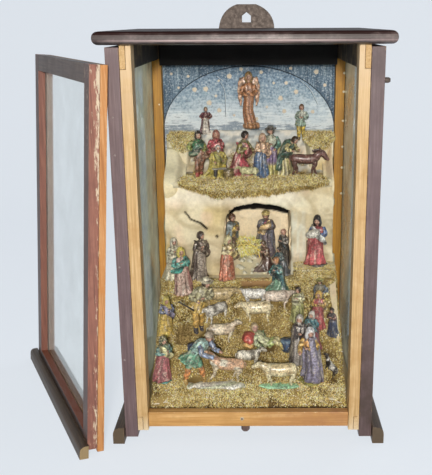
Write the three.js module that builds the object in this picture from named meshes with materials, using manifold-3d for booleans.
// Box nativity scene: an upright wooden case, glazed on both sides, with a lift-off glazed front that
// stands beside it, and a painted rock landscape with small figures inside. Millimetres, +Z up.
// The origin is the middle of the floor board's underside; +X is to the right, +Y to the back.
import * as THREE from 'three';
import { mergeVertices } from 'three/addons/utils/BufferGeometryUtils.js';
import Module from 'manifold-3d';

const wasm = await Module();
wasm.setup();

// Case
const CASE_WIDTH = 340;
const CASE_DEPTH = 312;
const POST_HEIGHT = 525;
const FOOT_DROP = 5;
const FIT = 0.3;

// Side frames: a painted outer layer and a raw inner layer with the pane between them
const OUTER_THICK = 17.2;
const INNER_THICK = 14.5;
const STILE_WIDTH = 24;
const TOP_RAIL = 26;
const BOTTOM_RAIL = 30;
const INNER_FOOT = 10;
const INNER_RISE = 2.5;
const TENON_LENGTH = 10;
const TENON_THICK = 6;
const TENON_SHOULDER = 5;
const GLASS_THICK = 2;
const REBATE_WIDTH = 7;

// Base mouldings along the sides, which are the feet
const MOULDING_THICK = 15.5;
const MOULDING_HEIGHT = 24;
const MOULDING_ROUND = 11;
const MOULDING_NOSE = 10;

// Roof board and what holds it at the back
const ROOF_THICK = 16;
const ROOF_SIDE_OVERHANG = 12;
const ROOF_FRONT_OVERHANG = 15;
const ROOF_ROUND = 7;
const BATTEN_WIDTH = 22;
const BATTEN_HEIGHT = 38.5;

// Back, floor and front sill
const BACK_THICK = 8;
const SKY_CARD = 2.4;
const SKY_DROP = 42.5;
const SKY_RISE = 99;
const FLOOR_THICK = 14;
const FLOOR_SETBACK = 30;
const SILL_HEIGHT = 21.5;
const SILL_THICK = 12;
const SILL_SETBACK = 3;

// Locating peg under the sill and catch pin on the right side
const PEG_HEAD = 12;
const PEG_PROUD = 9;
const PEG_SHANK = 7;
const PEG_DEPTH = 14;
const PEG_X = -4;
const CATCH_PIN = 4.5;
const CATCH_HEAD = 7;
const CATCH_PROUD = 8;
const CATCH_DEPTH = 9;
const CATCH_DROP = 41;
const CATCH_SETBACK = 12;

// Hanger plate of sheet iron, screwed to the back board
const HANGER_THICK = 2.5;
const HANGER_WIDTH = 88;
const HANGER_TOP = 30;
const HANGER_RISE = 36.5;
const HANGER_TAIL = 34;
const HANGER_HOLE = 14;
const HANGER_X = -3;
const HANGER_SCREW = 3.6;
const HANGER_SCREW_HEAD = 8;
const HANGER_SCREW_SPACING = 56;
const HANGER_SCREW_LENGTH = 6.5;
const HANGER_SCREW_RISE = 2;

// Lift-off front, standing beside the case and leaning on the left post
const FRONT_SHORT = 19;
const FRONT_PAINTED = 13.5;
const FRONT_RAW = 9;
const FRONT_STILE = 24;
const FRONT_TOP_RAIL = 24;
const FRONT_BOTTOM_RAIL = 19;
const FRONT_CLEAR = 7;
const FRONT_RAW_DROP = 5.2;
const FRONT_MOULDING_THICK = 12;
const FRONT_MOULDING_HEIGHT = 18;
const FRONT_MOULDING_ROUND = 8;
const FRONT_MOULDING_OVERHANG = 9;
const FRONT_TURN = THREE.MathUtils.degToRad(64);
const FRONT_LEAN = THREE.MathUtils.degToRad(3.9);
const FRONT_REACH = 14.6;

// Landscape: a meadow that climbs to a grotto, a rock face, a terrace above it and a hill at the back.
// It is set out from the roof down and from the back forward, and the meadow takes up what is left.
const SKY_ROOM = 205.5;
const LANDSCAPE_DEPTH = 121;
const SHELL = 8;
const MEADOW_FRONT = 38;
const MEADOW_KNEE_DEPTH = 60;
const MEADOW_KNEE = 62;
const GROTTO_INSIDE = 66;
const GROTTO_RISE = 116;
const GROTTO_LEFT = -38;
const GROTTO_RIGHT = 65;
const GROTTO_ARCH = 34;
const GROTTO_STEP = 18;
const ROCK_SETBACK = 24;
const ROCK_THICK = 12;
const VAULT_WALL = 5;
const SHELF_RISE = 22;
const SHELF_DEPTH = 36;
const SHELF_THICK = 14;
const TERRACE_COVER = 26;
const TERRACE_THICK = 12;
const TERRACE_LIP = 6;
const HILL_RISE = 62;
const HILL_SHOULDER = 30;
const HILL_SETBACK = 48;
const HILL_BROW = 4;
const LEDGE_WIDTH = 50;
const LEDGE_DEPTH = 42;
const LEDGE_DROP = 3;
const LEDGE_THICK = 26;

// Figures: heights of the standing ones, the hem's radius as a share of the height, flatness front to back
const TALL_WOMAN = 86;
const KERCHIEF_WOMAN = 75;
const CLOAKED_MAN = 76;
const TURBAN_MAN = 78;
const LAMB_BEARER = 77;
const GREEN_JACKET_MAN = 70;
const ROBE_GIRTH = 0.19;
const ROBE_FLAT = 0.72;

// Gaps that set the figures' places: to the wall, to the neighbour or to the ground's edges
const FRONT_ROW = 50;
const KERCHIEF_TO_WALL = 2.4;
const BENDING_REACH = 44;
const WOMAN_TO_WALL = 33;
const SHEEP_TO_WOMAN = 30;
const SHEPHERD_SETBACK = 39;
const CLOAKED_ASIDE = 39;
const TURBAN_TO_MANGER = 4;
const JACKET_ASIDE = 56;
const JACKET_TO_HILL = 25;
const DONKEY_TO_HILL = 15;
const DONKEY_TO_WALL = 46;

// Places worked out from the sizes above, in the case's own frame: y is 0 at the front of the posts
const HALF_WIDTH = CASE_WIDTH / 2;
const INNER_OUT = HALF_WIDTH - OUTER_THICK - FIT;
const INNER_IN = INNER_OUT - INNER_THICK;
const INSIDE = INNER_IN - FIT;
const INNER_TOP = POST_HEIGHT + INNER_RISE;
const SIGHT_LOW = BOTTOM_RAIL;
const SIGHT_HIGH = POST_HEIGHT - TOP_RAIL;
const ROOF_LOW = INNER_TOP + FIT;
const ROOF_HIGH = ROOF_LOW + ROOF_THICK;
const BACK_FRONT = CASE_DEPTH - BACK_THICK;
const SKY_FRONT = BACK_FRONT - FIT - SKY_CARD;
const SCENE_BACK = SKY_FRONT - FIT;
const SILL_LOW = FLOOR_THICK + FIT;
const SILL_BACK = SILL_SETBACK + SILL_THICK;
const SKY_CROWN = INNER_TOP - SKY_DROP;
const SKY_SPRING = SKY_CROWN - SKY_RISE;
const CATCH_HEIGHT = POST_HEIGHT - CATCH_DROP;
const FRONT_WIDTH = CASE_WIDTH;
const FRONT_HEIGHT = POST_HEIGHT - FRONT_SHORT;
const TERRACE_TOP = INNER_TOP - SKY_ROOM;
const TERRACE_LOW = TERRACE_TOP - TERRACE_THICK;
const HILL_FRONT = SCENE_BACK - HILL_SETBACK - FIT;
const HILL_TOP = TERRACE_TOP + HILL_RISE;
const LEDGE_TOP = HILL_TOP - LEDGE_DROP;
const GROTTO_CROWN = TERRACE_LOW - TERRACE_COVER;
const GROTTO_SPRING = GROTTO_CROWN - GROTTO_ARCH;
const GROTTO_FLOOR = GROTTO_CROWN - GROTTO_RISE;
const GROTTO_RAMP = GROTTO_FLOOR + GROTTO_STEP;
const GROTTO_DEPTH = SCENE_BACK - LANDSCAPE_DEPTH;
const ROCK_FRONT = GROTTO_DEPTH + ROCK_SETBACK;
const ROCK_BACK = ROCK_FRONT + ROCK_THICK;
const GROTTO_BACK = ROCK_FRONT + GROTTO_INSIDE;
const SHELF_TOP = GROTTO_FLOOR + SHELF_RISE;
const MEADOW_TOP = GROTTO_FLOOR - TERRACE_THICK;
const MEADOW_NEAR = SILL_BACK + FIT;
const MEADOW_FAR = GROTTO_DEPTH - FIT;

const FINISHES = {
  painted_wood: { color: 0x5b4240, roughness: 0.55, metalness: 0 },
  raw_wood: { color: 0xd9b783, roughness: 0.7, metalness: 0 },
  aged_wood: { color: 0xb08238, roughness: 0.6, metalness: 0 },
  roof_wood: { color: 0x3a2926, roughness: 0.4, metalness: 0 },
  front_wood: { color: 0x7a3f2c, roughness: 0.5, metalness: 0 },
  dark_wood: { color: 0x35221b, roughness: 0.5, metalness: 0 },
  iron: { color: 0x5d5650, roughness: 0.55, metalness: 0.8 },
  glass: { color: 0xdfe8e6, roughness: 0.05, metalness: 0 },
  sky_card: { color: 0x4d6478, roughness: 0.85, metalness: 0 },
  plaster: { color: 0xe2d3ad, roughness: 0.9, metalness: 0 },
  meadow: { color: 0x9a8448, roughness: 0.95, metalness: 0 },
  figure: { color: 0x9a6a4a, roughness: 0.6, metalness: 0 },
};

const nativity = new THREE.Group();
const cabinet = new THREE.Group();
cabinet.position.y = -CASE_DEPTH / 2;
nativity.add(cabinet);

// Adds one named piece to a group, with a material of its own
function piece(name, geometry, finish, group = cabinet) {
  const mesh = new THREE.Mesh(geometry, new THREE.MeshStandardMaterial(FINISHES[finish]));
  mesh.name = name;
  group.add(mesh);
  return mesh;
}

// A geometry with only its positions, and each corner stored once
function weld(geometry) {
  const bare = geometry.clone();
  bare.deleteAttribute('normal');
  bare.deleteAttribute('uv');
  return mergeVertices(bare, 1e-4);
}

function toSolid(geometry) {
  const welded = weld(geometry);
  const corners = welded.index.array;
  const triangles = [];
  for (let i = 0; i < corners.length; i += 3) {
    const [a, b, c] = [corners[i], corners[i + 1], corners[i + 2]];
    if (a !== b && b !== c && c !== a) triangles.push(a, b, c);
  }
  const vertProperties = new Float32Array(welded.attributes.position.array);
  const triVerts = new Uint32Array(triangles);
  return new wasm.Manifold(new wasm.Mesh({ numProp: 3, vertProperties, triVerts }));
}

function toGeometry(solid) {
  const mesh = solid.getMesh();
  const geometry = new THREE.BufferGeometry();
  geometry.setAttribute('position', new THREE.BufferAttribute(new Float32Array(mesh.vertProperties), 3));
  geometry.setIndex(new THREE.BufferAttribute(new Uint32Array(mesh.triVerts), 1));
  return geometry;
}

function cut(geometry, ...tools) {
  return toGeometry(tools.reduce((solid, tool) => solid.subtract(toSolid(tool)), toSolid(geometry)));
}

function join(geometry, ...others) {
  return toGeometry(others.reduce((solid, other) => solid.add(toSolid(other)), toSolid(geometry)));
}

// A squared block between two corners, given in any order along each axis
function block([xa, xb], [ya, yb], [za, zb]) {
  const geometry = new THREE.BoxGeometry(Math.abs(xb - xa), Math.abs(yb - ya), Math.abs(zb - za));
  return geometry.translate((xa + xb) / 2, (ya + yb) / 2, (za + zb) / 2);
}

// An outline in x and z, carried from the front y to the back y
function carryBack(outline, yFront, yBack, steps = 12) {
  const options = { depth: yBack - yFront, bevelEnabled: false, curveSegments: steps };
  const geometry = new THREE.ExtrudeGeometry(outline, options);
  return geometry.rotateX(Math.PI / 2).translate(0, yBack, 0);
}

// An outline in y and z, carried across from one x to the other
function carryAcross(outline, xLeft, xRight, steps = 12) {
  const options = { depth: xRight - xLeft, bevelEnabled: false, curveSegments: steps };
  const geometry = new THREE.ExtrudeGeometry(outline, options);
  const turn = new THREE.Matrix4().makeBasis(
    new THREE.Vector3(0, 1, 0), new THREE.Vector3(0, 0, 1), new THREE.Vector3(1, 0, 0));
  return geometry.applyMatrix4(turn).translate(xLeft, 0, 0);
}

function outlineOf(points) {
  return new THREE.Shape(points.map(([a, b]) => new THREE.Vector2(a, b)));
}

// A turned piece about the z axis, from its radius at each height
function turned(profile, sides = 12) {
  const points = profile.map(([radius, height]) => new THREE.Vector2(radius, height));
  return new THREE.LatheGeometry(points, sides).rotateX(Math.PI / 2);
}

// A round pin along y with a wider, chamfered head; the shank's far end is at y = length
const PIN_CHAMFER = 0.7;

function headedPin(headRadius, headLength, shankRadius, length, sides = 16) {
  const profile = [[0, -headLength], [headRadius * PIN_CHAMFER, -headLength],
    [headRadius, -headLength * PIN_CHAMFER],
    [headRadius, 0], [shankRadius, 0], [shankRadius, length], [0, length]];
  return turned(profile, sides).rotateX(-Math.PI / 2);
}

function bore(radius, yFront, yBack, x, z, sides = 16) {
  const geometry = new THREE.CylinderGeometry(radius, radius, yBack - yFront, sides);
  return geometry.translate(x, (yFront + yBack) / 2, z);
}

// The same across the case, from the outside of the right post inwards
function catchBore() {
  const geometry = bore(CATCH_PIN / 2 + FIT, -CATCH_DEPTH - FIT, 1, 0, 0, 12).rotateZ(-Math.PI / 2);
  return geometry.translate(HALF_WIDTH, CATCH_SETBACK, CATCH_HEIGHT);
}

// Side frames

// The painted layer: stiles with mortises, rails with stub tenons, and a rebate for the pane
function outerFrame(side, label) {
  const across = [side * (HALF_WIDTH - OUTER_THICK), side * HALF_WIDTH];
  const middle = side * (HALF_WIDTH - OUTER_THICK / 2);
  const tenonAcross = [middle - TENON_THICK / 2, middle + TENON_THICK / 2];
  const mortiseAcross = [tenonAcross[0] - FIT, tenonAcross[1] + FIT];
  const frontEdge = STILE_WIDTH;
  const rearEdge = CASE_DEPTH - STILE_WIDTH;
  const rebate = block([across[0], across[0] + side * (GLASS_THICK + 2 * FIT)],
    [frontEdge - REBATE_WIDTH - FIT, rearEdge + REBATE_WIDTH + FIT],
    [SIGHT_LOW - REBATE_WIDTH - FIT, SIGHT_HIGH + REBATE_WIDTH + FIT]);
  const rails = { bottom: [0, SIGHT_LOW], top: [SIGHT_HIGH, POST_HEIGHT] };
  const mortises = (yEdge, inward) => Object.values(rails).map(([low, high]) => block(mortiseAcross,
    [yEdge, yEdge - inward * (TENON_LENGTH + FIT)],
    [low + TENON_SHOULDER - FIT, high - TENON_SHOULDER + FIT]));
  const stiles = { front: [0, frontEdge], rear: [rearEdge, CASE_DEPTH] };
  for (const [place, [near, far]] of Object.entries(stiles)) {
    const holes = place === 'front' ? mortises(far, 1) : mortises(near, -1);
    if (side > 0 && place === 'front') holes.push(catchBore());
    const stile = cut(block(across, [near, far], [0, POST_HEIGHT]), rebate, ...holes);
    piece(`${label}_outer_${place}_stile`, stile, 'painted_wood');
  }
  for (const [place, [low, high]] of Object.entries(rails)) {
    const body = block(across, [frontEdge + FIT, rearEdge - FIT], [low, high]);
    const tenons = block(tenonAcross, [frontEdge - TENON_LENGTH, rearEdge + TENON_LENGTH],
      [low + TENON_SHOULDER, high - TENON_SHOULDER]);
    piece(`${label}_outer_${place}_rail`, cut(join(body, tenons), rebate), 'painted_wood');
  }
}

// The raw layer: stiles and rails halved over each other at the corners
function innerFrame(side, label) {
  const across = [side * INNER_IN, side * INNER_OUT];
  const half = side * (INNER_IN + INNER_THICK / 2);
  const outerHalf = [half - side * FIT / 2, side * (INNER_OUT + 1)];
  const innerHalf = [side * (INNER_IN - 1), half + side * FIT / 2];
  const rails = { bottom: [INNER_FOOT, SIGHT_LOW], top: [SIGHT_HIGH, INNER_TOP] };
  const stiles = { front: [0, STILE_WIDTH], rear: [CASE_DEPTH - STILE_WIDTH, CASE_DEPTH] };
  const laps = [block(outerHalf, [-1, CASE_DEPTH + 1], [INNER_FOOT - 1, SIGHT_LOW + FIT]),
    block(outerHalf, [-1, CASE_DEPTH + 1], [SIGHT_HIGH - FIT, INNER_TOP + 1])];
  for (const [place, depth] of Object.entries(stiles)) {
    const stile = cut(block(across, depth, [INNER_FOOT, INNER_TOP]), ...laps);
    piece(`${label}_inner_${place}_stile`, stile, place === 'front' ? 'raw_wood' : 'aged_wood');
  }
  for (const [place, height] of Object.entries(rails)) {
    const frontLap = block(innerHalf, [-1, STILE_WIDTH + FIT], [height[0] - 1, height[1] + 1]);
    const rearLap = block(innerHalf, [CASE_DEPTH - STILE_WIDTH - FIT, CASE_DEPTH + 1],
      [height[0] - 1, height[1] + 1]);
    const rail = cut(block(across, [0, CASE_DEPTH], height), frontLap, rearLap);
    piece(`${label}_inner_${place}_rail`, rail, 'raw_wood');
  }
}

function sidePane(side, label) {
  const near = side * (HALF_WIDTH - OUTER_THICK + FIT / 2);
  const pane = block([near, near + side * GLASS_THICK],
    [STILE_WIDTH - REBATE_WIDTH, CASE_DEPTH - STILE_WIDTH + REBATE_WIDTH],
    [SIGHT_LOW - REBATE_WIDTH, SIGHT_HIGH + REBATE_WIDTH]);
  piece(`${label}_side_glass`, pane, 'glass');
}

// A moulding's section: square on the back and underside, with a quarter round on the outer top edge.
// The back is at 0 and the outer face towards the sign of thick.
function mouldingSection(thick, height, round) {
  const sign = Math.sign(thick);
  const section = new THREE.Shape();
  section.moveTo(0, 0);
  section.lineTo(thick, 0);
  section.lineTo(thick, height - round);
  section.quadraticCurveTo(thick, height, thick - sign * round, height);
  section.lineTo(0, height);
  return section;
}

function baseMoulding(side, label) {
  const section = mouldingSection(side * MOULDING_THICK, MOULDING_HEIGHT, MOULDING_ROUND);
  const moulding = carryBack(section, -MOULDING_NOSE, CASE_DEPTH, 6);
  piece(`${label}_base_moulding`, moulding.translate(side * (HALF_WIDTH + FIT), 0, -FOOT_DROP), 'dark_wood');
}

for (const [label, side] of [['left', -1], ['right', 1]]) {
  outerFrame(side, label);
  innerFrame(side, label);
  sidePane(side, label);
  baseMoulding(side, label);
}

// Roof board: rounded on the front and both ends, cut flat where it meets the wall
function roofBoard() {
  const halfSpan = HALF_WIDTH + ROOF_SIDE_OVERHANG;
  const outline = outlineOf([[-halfSpan, -ROOF_FRONT_OVERHANG], [halfSpan, -ROOF_FRONT_OVERHANG],
    [halfSpan, CASE_DEPTH + ROOF_ROUND], [-halfSpan, CASE_DEPTH + ROOF_ROUND]]);
  const board = new THREE.ExtrudeGeometry(outline, {
    depth: ROOF_THICK - 2 * ROOF_ROUND, bevelThickness: ROOF_ROUND, bevelSize: ROOF_ROUND,
    bevelOffset: -ROOF_ROUND, bevelSegments: 4, steps: 1 });
  board.translate(0, 0, ROOF_LOW + ROOF_ROUND);
  const wall = block([-CASE_WIDTH, CASE_WIDTH], [CASE_DEPTH, 2 * CASE_DEPTH], [0, 2 * ROOF_HIGH]);
  return cut(board, wall);
}

piece('roof_board', roofBoard(), 'roof_wood');
piece('rear_batten', block([-INSIDE, INSIDE],
  [CASE_DEPTH - STILE_WIDTH - FIT - BATTEN_WIDTH, CASE_DEPTH - STILE_WIDTH - FIT],
  [INNER_TOP - BATTEN_HEIGHT, INNER_TOP]), 'dark_wood');

// Hanger plate: a hand-cut ear above the roof, with a pointed hole for the nail
const HANGER_SCREW_HEIGHT = INNER_TOP - HANGER_TAIL / 3;
const HANGER_SCREWS = {
  left: HANGER_X - HANGER_SCREW_SPACING / 2,
  right: HANGER_X + HANGER_SCREW_SPACING / 2,
};

// The plate's outline in shares of its half width and of its rise, and its hole in shares of the hole's width
const HANGER_SHAPE = {
  foot: 0.86, rightBow: [0.98, 0.72], leftBow: [-0.92, 0.78], holeLow: 0.25, holeSide: 0.7, holePoint: 1.1,
};

function hangerPlate() {
  const { foot, rightBow, leftBow, holeLow, holeSide, holePoint } = HANGER_SHAPE;
  const top = ROOF_HIGH + HANGER_RISE;
  const low = INNER_TOP - HANGER_TAIL;
  const reach = HANGER_WIDTH / 2;
  const plate = new THREE.Shape();
  plate.moveTo(-reach * foot, low);
  plate.lineTo(reach * foot, low);
  plate.lineTo(reach, ROOF_HIGH);
  plate.quadraticCurveTo(reach * rightBow[0], ROOF_HIGH + HANGER_RISE * rightBow[1], HANGER_TOP / 2, top);
  plate.lineTo(-HANGER_TOP / 2, top);
  plate.quadraticCurveTo(reach * leftBow[0], ROOF_HIGH + HANGER_RISE * leftBow[1], -reach, ROOF_HIGH);
  const nail = new THREE.Path();
  const nailLow = ROOF_HIGH + HANGER_RISE * holeLow;
  nail.moveTo(-HANGER_HOLE / 2, nailLow);
  nail.lineTo(-HANGER_HOLE / 2, nailLow + HANGER_HOLE * holeSide);
  nail.lineTo(0, nailLow + HANGER_HOLE * holePoint);
  nail.lineTo(HANGER_HOLE / 2, nailLow + HANGER_HOLE * holeSide);
  nail.lineTo(HANGER_HOLE / 2, nailLow);
  plate.holes.push(nail);
  for (const x of Object.values(HANGER_SCREWS)) {
    const hole = new THREE.Path();
    hole.absarc(x - HANGER_X, HANGER_SCREW_HEIGHT, HANGER_SCREW / 2 + FIT, 0, 2 * Math.PI);
    plate.holes.push(hole);
  }
  return carryBack(plate, CASE_DEPTH + FIT, CASE_DEPTH + FIT + HANGER_THICK, 8).translate(HANGER_X, 0, 0);
}

piece('hanger_plate', hangerPlate(), 'iron');
for (const [label, x] of Object.entries(HANGER_SCREWS)) {
  const plateBack = CASE_DEPTH + 2 * FIT + HANGER_THICK;
  const screw = headedPin(HANGER_SCREW_HEAD / 2, HANGER_SCREW_RISE, HANGER_SCREW / 2, HANGER_SCREW_LENGTH,
    12);
  screw.rotateZ(Math.PI).translate(x, plateBack, HANGER_SCREW_HEIGHT);
  piece(`hanger_screw_${label}`, screw, 'iron');
}

// Back board with the screws' pilot holes, and the card arch with the painted sky on it
const pilots = Object.values(HANGER_SCREWS).map((x) =>
  bore(HANGER_SCREW / 2 + FIT, CASE_DEPTH - HANGER_SCREW_LENGTH, CASE_DEPTH + 1, x, HANGER_SCREW_HEIGHT, 12));
piece('back_board', cut(block([-INSIDE, INSIDE], [BACK_FRONT, CASE_DEPTH], [0, INNER_TOP]), ...pilots),
  'sky_card');

function skyArch() {
  const half = INSIDE - FIT;
  const arch = new THREE.Shape();
  arch.moveTo(-half, TERRACE_TOP);
  arch.lineTo(half, TERRACE_TOP);
  arch.lineTo(half, SKY_SPRING);
  arch.absellipse(0, SKY_SPRING, half, SKY_CROWN - SKY_SPRING, 0, Math.PI);
  return carryBack(arch, SKY_FRONT, SKY_FRONT + SKY_CARD, 16);
}

piece('sky_arch', skyArch(), 'sky_card');

// Floor board, the sill between the side frames in front of it, and the turned peg in the sill's underside
piece('floor_board', block([-INSIDE, INSIDE], [FLOOR_SETBACK, BACK_FRONT - FIT], [0, FLOOR_THICK]),
  'raw_wood');

const SILL_MIDDLE = (SILL_SETBACK + SILL_BACK) / 2;
const pegBore = bore(PEG_SHANK / 2 + FIT, -1, PEG_DEPTH, PEG_X, 0).rotateX(Math.PI / 2)
  .translate(0, SILL_MIDDLE, SILL_LOW);
piece('front_sill', cut(block([-INSIDE, INSIDE], [SILL_SETBACK, SILL_BACK],
  [SILL_LOW, SILL_LOW + SILL_HEIGHT]), pegBore), 'raw_wood');
piece('front_peg', headedPin(PEG_HEAD / 2, PEG_PROUD, PEG_SHANK / 2, PEG_DEPTH).rotateX(Math.PI / 2)
  .translate(PEG_X, SILL_MIDDLE, SILL_LOW - FIT), 'dark_wood');

// Catch pin in the right side's painted stile
piece('catch_pin', headedPin(CATCH_HEAD / 2, CATCH_PROUD, CATCH_PIN / 2, CATCH_DEPTH, 12)
  .rotateZ(Math.PI / 2).translate(HALF_WIDTH + FIT, CATCH_SETBACK, CATCH_HEIGHT), 'iron');

// Lift-off front. Its own frame: x from the left edge, y from the outer face inwards, z from the floor.
const frontTurn = new THREE.Group();
const frontPanel = new THREE.Group();
frontTurn.add(frontPanel);
cabinet.add(frontTurn);

function frontFrame() {
  const top = FRONT_CLEAR + FRONT_HEIGHT;
  const low = FRONT_CLEAR;
  const sight = { left: FRONT_STILE, right: FRONT_WIDTH - FRONT_STILE, low: low + FRONT_BOTTOM_RAIL,
    high: top - FRONT_TOP_RAIL };
  const rebate = block([sight.left - REBATE_WIDTH - FIT, sight.right + REBATE_WIDTH + FIT],
    [FRONT_PAINTED - GLASS_THICK - 2 * FIT, FRONT_PAINTED + 1],
    [sight.low - REBATE_WIDTH - FIT, sight.high + REBATE_WIDTH + FIT]);
  const layers = {
    painted: { depth: [0, FRONT_PAINTED], low, finish: 'front_wood' },
    raw: { depth: [FRONT_PAINTED + FIT, FRONT_PAINTED + FIT + FRONT_RAW], low: low - FRONT_RAW_DROP,
      finish: 'raw_wood' },
  };
  for (const [label, layer] of Object.entries(layers)) {
    const members = {
      left_stile: block([0, FRONT_STILE], layer.depth, [layer.low, top]),
      right_stile: block([FRONT_WIDTH - FRONT_STILE, FRONT_WIDTH], layer.depth, [layer.low, top]),
      top_rail: block([sight.left + FIT, sight.right - FIT], layer.depth, [sight.high, top]),
      bottom_rail: block([sight.left + FIT, sight.right - FIT], layer.depth, [layer.low, sight.low]),
    };
    for (const [member, shape] of Object.entries(members)) {
      piece(`front_${label}_${member}`, cut(shape, rebate), layer.finish, frontPanel);
    }
  }
  piece('front_glass', block([sight.left - REBATE_WIDTH, sight.right + REBATE_WIDTH],
    [FRONT_PAINTED - GLASS_THICK - FIT, FRONT_PAINTED - FIT],
    [sight.low - REBATE_WIDTH, sight.high + REBATE_WIDTH]), 'glass', frontPanel);
}

function frontMoulding() {
  const section = mouldingSection(-FRONT_MOULDING_THICK, FRONT_MOULDING_HEIGHT, FRONT_MOULDING_ROUND);
  const moulding = carryAcross(section, -FRONT_MOULDING_OVERHANG, FRONT_WIDTH + FRONT_MOULDING_OVERHANG, 6);
  piece('front_base_moulding', moulding.translate(0, -FIT, 0), 'dark_wood', frontPanel);
}

// Turns and leans the front so that its inner top edge rests on the left post's front corner and its
// right edge reaches a little past that corner
function standFront() {
  const along = new THREE.Vector2(Math.cos(FRONT_TURN), -Math.sin(FRONT_TURN));
  const inward = new THREE.Vector2(Math.sin(FRONT_TURN), Math.cos(FRONT_TURN));
  const corner = new THREE.Vector2(-HALF_WIDTH, 0);
  const thick = FRONT_PAINTED + FIT + FRONT_RAW;
  const top = FRONT_CLEAR + FRONT_HEIGHT;
  const innerTop = thick * Math.cos(FRONT_LEAN) + top * Math.sin(FRONT_LEAN);
  const place = corner.clone().addScaledVector(along, FRONT_REACH - FRONT_WIDTH);
  place.addScaledVector(inward, -innerTop - FIT);
  const rawFoot = thick * Math.sin(FRONT_LEAN) - (FRONT_CLEAR - FRONT_RAW_DROP) * Math.cos(FRONT_LEAN);
  frontTurn.position.set(place.x, place.y, Math.max(0, rawFoot) - FOOT_DROP);
  frontTurn.rotation.z = -FRONT_TURN;
  frontPanel.rotation.x = -FRONT_LEAN;
}

frontFrame();
frontMoulding();
standFront();

// Landscape

// The meadow is a bent shell that stands on the floor board and climbs to the grotto floor
function meadow() {
  const foot = FLOOR_THICK + FIT;
  const outline = outlineOf([[MEADOW_NEAR, foot], [MEADOW_NEAR + SHELL, foot],
    [MEADOW_NEAR + SHELL, MEADOW_FRONT - SHELL / 2], [MEADOW_KNEE_DEPTH, MEADOW_KNEE - SHELL],
    [MEADOW_FAR, MEADOW_TOP - SHELL], [MEADOW_FAR, MEADOW_TOP], [MEADOW_KNEE_DEPTH, MEADOW_KNEE],
    [MEADOW_NEAR, MEADOW_FRONT]]);
  return carryAcross(outline, -INSIDE, INSIDE);
}

// The grotto's opening, grown by a margin for the vault's outer face
function grottoArch(margin, low) {
  const middle = (GROTTO_LEFT + GROTTO_RIGHT) / 2;
  const half = (GROTTO_RIGHT - GROTTO_LEFT) / 2 + margin;
  const arch = new THREE.Shape();
  arch.moveTo(middle - half, low);
  arch.lineTo(middle + half, low);
  arch.lineTo(middle + half, GROTTO_SPRING);
  arch.absellipse(middle, GROTTO_SPRING, half, GROTTO_CROWN - GROTTO_SPRING + margin, 0, Math.PI);
  return arch;
}

// The rock face round the grotto, with a mossy shelf on its right
function rockFace() {
  const foot = GROTTO_FLOOR + FIT;
  const wall = block([-INSIDE, INSIDE], [ROCK_FRONT, ROCK_BACK], [foot, TERRACE_LOW - FIT]);
  const opening = carryBack(grottoArch(0, foot - 1), ROCK_FRONT - 1, ROCK_BACK + 1, 10);
  const shelf = block([GROTTO_RIGHT + VAULT_WALL, INSIDE], [ROCK_FRONT - SHELF_DEPTH, ROCK_FRONT + 1],
    [SHELF_TOP - SHELF_THICK, SHELF_TOP]);
  return join(cut(wall, opening), shelf);
}

function grottoVault() {
  const foot = GROTTO_FLOOR + FIT;
  const shell = carryBack(grottoArch(VAULT_WALL, foot), ROCK_BACK + FIT, GROTTO_BACK, 10);
  const hollow = carryBack(grottoArch(0, foot - 1), ROCK_BACK - 1, GROTTO_BACK + 1, 10);
  return cut(shell, hollow);
}

// The hill behind the terrace, with a ledge at each end
function rearHill() {
  const low = TERRACE_TOP + FIT;
  const slope = carryAcross(outlineOf([[HILL_FRONT, low], [SCENE_BACK, low], [SCENE_BACK, HILL_TOP],
    [SCENE_BACK - HILL_SETBACK / 4, HILL_TOP - HILL_BROW],
    [HILL_FRONT + HILL_SETBACK / 2, low + HILL_SHOULDER]]), -INSIDE, INSIDE);
  const ledges = [-1, 1].map((side) => block([side * (INSIDE - LEDGE_WIDTH), side * INSIDE],
    [SCENE_BACK - LEDGE_DEPTH, SCENE_BACK], [LEDGE_TOP - LEDGE_THICK, LEDGE_TOP]));
  return join(slope, ...ledges);
}

// The grotto's floor board, with a plaster ramp that climbs to the back of the grotto
function grottoFloor() {
  const board = block([-INSIDE, INSIDE], [GROTTO_DEPTH, SCENE_BACK],
    [GROTTO_FLOOR - TERRACE_THICK, GROTTO_FLOOR]);
  const ramp = carryAcross(outlineOf([[ROCK_FRONT, GROTTO_FLOOR - 1], [GROTTO_BACK, GROTTO_FLOOR - 1],
    [GROTTO_BACK, GROTTO_RAMP], [(ROCK_FRONT + GROTTO_BACK) / 2, GROTTO_RAMP]]),
  GROTTO_LEFT + FIT, GROTTO_RIGHT - FIT);
  return join(board, ramp);
}

piece('meadow_slope', meadow(), 'meadow');
piece('grotto_floor', grottoFloor(), 'plaster');
piece('rock_face', rockFace(), 'plaster');
piece('grotto_vault', grottoVault(), 'plaster');
piece('grotto_back', carryBack(grottoArch(VAULT_WALL, GROTTO_FLOOR + FIT), GROTTO_BACK + FIT,
  GROTTO_BACK + FIT + VAULT_WALL, 10), 'plaster');
piece('terrace_deck', block([-INSIDE, INSIDE], [ROCK_FRONT - TERRACE_LIP, SCENE_BACK],
  [TERRACE_LOW, TERRACE_TOP]), 'plaster');
piece('rear_hill', rearHill(), 'plaster');

// Figures

// Everything under the meadow's surface, which trims the feet of what stands on it
const FOOT_GAP = 1.3 * FIT;

function meadowGround() {
  const outline = outlineOf([[MEADOW_NEAR, 0], [MEADOW_FAR, 0], [MEADOW_FAR, MEADOW_TOP + FOOT_GAP],
    [MEADOW_KNEE_DEPTH, MEADOW_KNEE + FOOT_GAP], [MEADOW_NEAR, MEADOW_FRONT + FOOT_GAP]]);
  return carryAcross(outline, -HALF_WIDTH, HALF_WIDTH);
}

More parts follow.
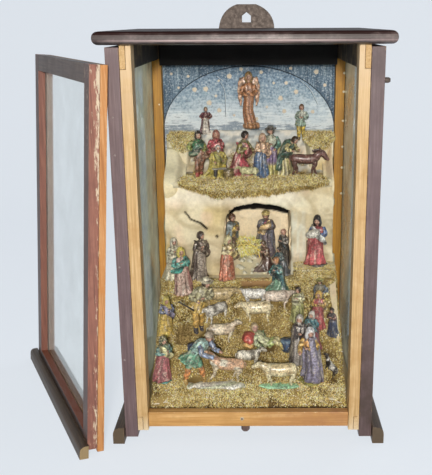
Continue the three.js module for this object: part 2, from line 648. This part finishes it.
// Height of the meadow's surface at a depth
function meadowHeight(y) {
  if (y > MEADOW_KNEE_DEPTH) {
    const run = (y - MEADOW_KNEE_DEPTH) / (MEADOW_FAR - MEADOW_KNEE_DEPTH);
    return THREE.MathUtils.lerp(MEADOW_KNEE, MEADOW_TOP, run);
  }
  const run = (y - MEADOW_NEAR) / (MEADOW_KNEE_DEPTH - MEADOW_NEAR);
  return THREE.MathUtils.lerp(MEADOW_FRONT, MEADOW_KNEE, run);
}

// A robed standing figure from hem to crown, flattened front to back. The robe is in shares of its girth
// and the head in shares of its own radius, both against the height. The foot goes down by root, so that
// a sloping ground can trim it.
const ROBE_PROFILE = [[0.95, 0.1], [0.72, 0.45], [0.85, 0.66], [0.62, 0.78]];
const HEAD_PROFILE = [[0.55, 0.82], [0.9, 0.87], [1, 0.92], [0.6, 0.98]];
const HEAD_SHARE = 0.085;

function robed(height, root = 0) {
  const girth = height * ROBE_GIRTH;
  const head = height * HEAD_SHARE;
  const robe = ROBE_PROFILE.map(([out, up]) => [girth * out, height * up]);
  const top = HEAD_PROFILE.map(([out, up]) => [head * out, height * up]);
  const profile = [[0, -root], [girth, -root], ...robe, ...top, [0, height]];
  return turned(profile, 10).scale(1, ROBE_FLAT, 1);
}

// A tapered round bar between two points
function limb(from, to, radiusFrom, radiusTo) {
  const start = new THREE.Vector3(...from);
  const run = new THREE.Vector3(...to).sub(start);
  const geometry = new THREE.CylinderGeometry(radiusTo, radiusFrom, run.length(), 8);
  geometry.translate(0, run.length() / 2, 0);
  const turn = new THREE.Quaternion().setFromUnitVectors(new THREE.Vector3(0, 1, 0), run.normalize());
  return geometry.applyQuaternion(turn).translate(...from);
}

function ball(centre, radii) {
  return new THREE.SphereGeometry(1, 10, 7).rotateX(Math.PI / 2).scale(...radii).translate(...centre);
}

// A four-legged animal that looks along -x, standing with its feet at z = -root. Its build is in shares
// of half its length, of its barrel's radius and of its head's size.
const BUILD = {
  chest: 0.75, stance: 0.72, hoofApart: 0.45, hipApart: 0.4, hoof: 0.26, thigh: 0.38, flank: 0.8,
  neckRoot: 0.7, neckTop: 0.6, muzzle: 1.35, cheek: 0.7, brow: 0.8,
};

function animal({ length, back, barrel, head, headAt, root }) {
  const half = length / 2;
  const heart = back - barrel;
  const legs = [-BUILD.stance, BUILD.stance].flatMap((along) => [-1, 1].map((side) => limb(
    [along * half, side * barrel * BUILD.hoofApart, -root],
    [along * half, side * barrel * BUILD.hipApart, heart], barrel * BUILD.hoof, barrel * BUILD.thigh)));
  const neck = limb([-half * BUILD.chest, 0, heart], headAt, barrel * BUILD.neckRoot, head * BUILD.neckTop);
  const skull = ball(headAt, [head * BUILD.muzzle, head * BUILD.cheek, head * BUILD.brow]);
  return join(ball([0, 0, heart], [half, barrel * BUILD.flank, barrel]), neck, skull, ...legs);
}

// Places on the meadow, from the walls inwards
const KERCHIEF_X = KERCHIEF_TO_WALL + KERCHIEF_WOMAN * ROBE_GIRTH - INSIDE;
const BENDING_X = KERCHIEF_X + BENDING_REACH;
const TALL_WOMAN_X = INSIDE - WOMAN_TO_WALL - TALL_WOMAN * ROBE_GIRTH;
const LARGE_SHEEP_X = TALL_WOMAN_X - TALL_WOMAN * ROBE_GIRTH - SHEEP_TO_WOMAN;
const SHEPHERD_X = 26;
const SHEPHERD_Y = MEADOW_KNEE_DEPTH + SHEPHERD_SETBACK;

const ground = meadowGround();

// Sets a figure made about its own foot on the meadow and trims it to the slope
function onMeadow(figure, x, y) {
  return cut(figure.translate(x, y, meadowHeight(y)), ground);
}

const MEADOW_ROBES = {
  tall_woman: { x: TALL_WOMAN_X, height: TALL_WOMAN },
  kerchief_woman: { x: KERCHIEF_X, height: KERCHIEF_WOMAN },
};

for (const [name, { x, height }] of Object.entries(MEADOW_ROBES)) {
  piece(name, onMeadow(robed(height, height / 3), x, FRONT_ROW), 'figure');
}

// A man who bends forward with one arm out: feet, hips, trunk, neck, head and arm
function bendingMan() {
  const hips = [2, 0, 38];
  const legs = [-9, 11].map((x) => limb([x, 0, -12], hips, 4.5, 6.5));
  const trunk = ball([4, 0, 44], [12, 9, 13]);
  const neck = limb([5, 0, 46], [16, -1.5, 65], 9, 5);
  const head = ball([18, -2, 68], [7.5, 7, 8.5]);
  const arm = limb([12, -4, 56], [28, -8, 40], 4.5, 3.5);
  return join(trunk, ...legs, neck, head, arm);
}

// A shepherd lying on one side with the head raised: body, legs, neck and head
function recliningShepherd() {
  const body = ball([4, 0, 9], [27, 10, 12]);
  const legs = limb([20, 0, 8], [36, 3, 3], 8, 5);
  const neck = limb([-6, -2, 12], [-20, -4, 18], 8, 5);
  const head = ball([-23, -4, 20], [8, 8, 8.5]);
  return join(body, legs, neck, head);
}

const MEADOW_SHEEP = { length: 52, back: 38, barrel: 12, head: 7.5, headAt: [-31, -2, 31], root: 14 };
const PACK_DONKEY = { length: 44, back: 38, barrel: 10, head: 8, headAt: [-30, 0, 30], root: 0 };

piece('bending_man', onMeadow(bendingMan(), BENDING_X, FRONT_ROW), 'figure');
piece('reclining_shepherd', onMeadow(recliningShepherd(), SHEPHERD_X, SHEPHERD_Y), 'figure');
piece('large_sheep', onMeadow(animal(MEADOW_SHEEP), LARGE_SHEEP_X, FRONT_ROW), 'figure');

// The manger: a slatted trough, wider at the top, on the grotto's ramp
const MANGER = { length: 40, low: 15, top: 27, height: 24, hollow: 12, wall: 3 };
const MANGER_X = -9;
const RAMP_PLACE = ROCK_FRONT + GROTTO_INSIDE * 0.7;

function manger() {
  const { length, low, top, height, hollow, wall } = MANGER;
  const trough = carryAcross(outlineOf([[-low / 2, 0], [low / 2, 0], [top / 2, height], [-top / 2, height]]),
    -length / 2, length / 2);
  const bed = carryAcross(outlineOf([[-low / 2 + wall, height - hollow], [low / 2 - wall, height - hollow],
    [top / 2 - wall, height + 1], [-top / 2 + wall, height + 1]]), wall - length / 2, length / 2 - wall);
  return cut(trough, bed).translate(MANGER_X, RAMP_PLACE, GROTTO_RAMP + FIT);
}

piece('manger', manger(), 'aged_wood');

// Figures on the flat places: the step before the rock, the shelf, the grotto's ramp and the terrace
const STEP_PLACE = GROTTO_DEPTH + ROCK_SETBACK / 2;
const SHELF_PLACE = ROCK_FRONT - SHELF_DEPTH / 2;
const JACKET_PLACE = HILL_FRONT - JACKET_TO_HILL;
const DONKEY_PLACE = HILL_FRONT - DONKEY_TO_HILL;
const DONKEY_X = INSIDE - DONKEY_TO_WALL;
const TURBAN_X = MANGER_X + MANGER.length / 2 + TURBAN_TO_MANGER + TURBAN_MAN * ROBE_GIRTH;
const SHELF_MIDDLE = (GROTTO_RIGHT + VAULT_WALL + INSIDE) / 2;
const FLAT_ROBES = {
  cloaked_man: { x: GROTTO_LEFT - CLOAKED_ASIDE, y: STEP_PLACE, low: GROTTO_FLOOR, height: CLOAKED_MAN },
  turban_man: { x: TURBAN_X, y: RAMP_PLACE, low: GROTTO_RAMP, height: TURBAN_MAN },
  lamb_bearer: { x: SHELF_MIDDLE, y: SHELF_PLACE, low: SHELF_TOP, height: LAMB_BEARER },
  green_jacket_man: { x: JACKET_ASIDE - INSIDE, y: JACKET_PLACE, low: TERRACE_TOP, height: GREEN_JACKET_MAN },
};

for (const [name, { x, y, low, height }] of Object.entries(FLAT_ROBES)) {
  piece(name, robed(height).translate(x, y, low + FIT), 'figure');
}

piece('donkey', animal(PACK_DONKEY).rotateZ(Math.PI).translate(DONKEY_X, DONKEY_PLACE, TERRACE_TOP + FIT),
  'figure');

// The angel before the sky, between the hill and the batten, held by a pin that reaches the card arch
const ANGEL = {
  overHill: 5, underBatten: 10, shoulder: 0.76, pinDrop: 0.155, stand: 24, pin: 2.5, wing: 3.5,
};

// A wing's outline in shares of the angel's height, out from the middle and up from the shoulder
const WING = {
  root: [0.033, -0.155], rise: [0.089, 0.155], top: [0.167, 0.089], bow: [0.267, -0.133],
  tip: [0.222, -0.422], fold: [0.133, -0.289], foot: [0.033, -0.222],
};

function angel() {
  const { overHill, underBatten, pinDrop, stand, pin, wing } = ANGEL;
  const low = HILL_TOP + overHill;
  const height = INNER_TOP - BATTEN_HEIGHT - underBatten - low;
  const shoulder = height * ANGEL.shoulder;
  const wingOutline = (side) => {
    const at = ([out, up]) => [side * out * height, shoulder + up * height];
    const outline = new THREE.Shape();
    outline.moveTo(...at(WING.root));
    outline.quadraticCurveTo(...at(WING.rise), ...at(WING.top));
    outline.quadraticCurveTo(...at(WING.bow), ...at(WING.tip));
    outline.quadraticCurveTo(...at(WING.fold), ...at(WING.foot));
    return outline;
  };
  const wings = [-1, 1].map((side) => carryBack(wingOutline(side), wing, 2 * wing, 5));
  const peg = bore(pin / 2, 0, stand - FIT, 0, shoulder - pinDrop * height, 8);
  return join(robed(height), ...wings, peg).translate(0, SKY_FRONT - stand, low);
}

piece('angel', angel(), 'figure');

export default nativity;
